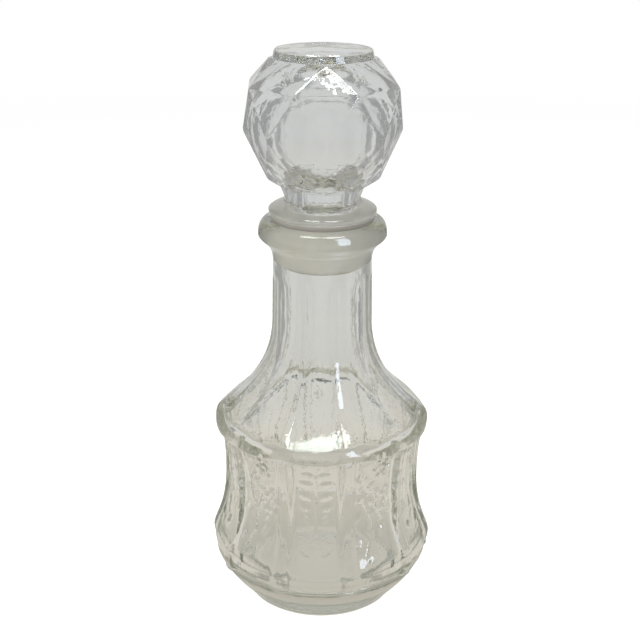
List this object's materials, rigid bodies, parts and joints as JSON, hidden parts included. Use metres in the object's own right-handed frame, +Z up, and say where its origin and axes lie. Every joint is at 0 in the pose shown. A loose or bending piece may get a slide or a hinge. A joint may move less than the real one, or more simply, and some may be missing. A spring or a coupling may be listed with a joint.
{
  "type": "carafe",
  "caption": "Clear pressed-glass decanter with a fluted neck, panelled waist and a hollow faceted ball stopper in a milky plastic sleeve.",
  "frame": {"origin": "on the table, at the middle of the bottle's foot", "axes": "+Z up along the bottle's axis, -Y towards the front of the picture, +X to its right"},
  "size_m": [0.0856, 0.084, 0.21],
  "materials": {
    "clear_glass": "fire-polished pressed glass, faint green-grey tint",
    "stopper_glass": "pressed glass with flat facets, slightly softened edges",
    "milky_plastic": "milky translucent polyethylene"
  },
  "bodies": {
    "bottle": {"bottle": "clear_glass"},
    "sleeve": {"stopper_sleeve": "milky_plastic"},
    "head": {"stopper_head": "stopper_glass"}
  },
  "joints": [
    {"name": "stopper_lift", "type": "slide", "parent": "bottle", "child": "sleeve", "axis": [0, 0, 1], "range_m": [0, 0.06]},
    {"name": "stopper_turn", "type": "hinge", "parent": "sleeve", "child": "head", "pos_m": [0, 0, 0.155], "axis": [0, 0, 1], "continuous": true}
  ]
}
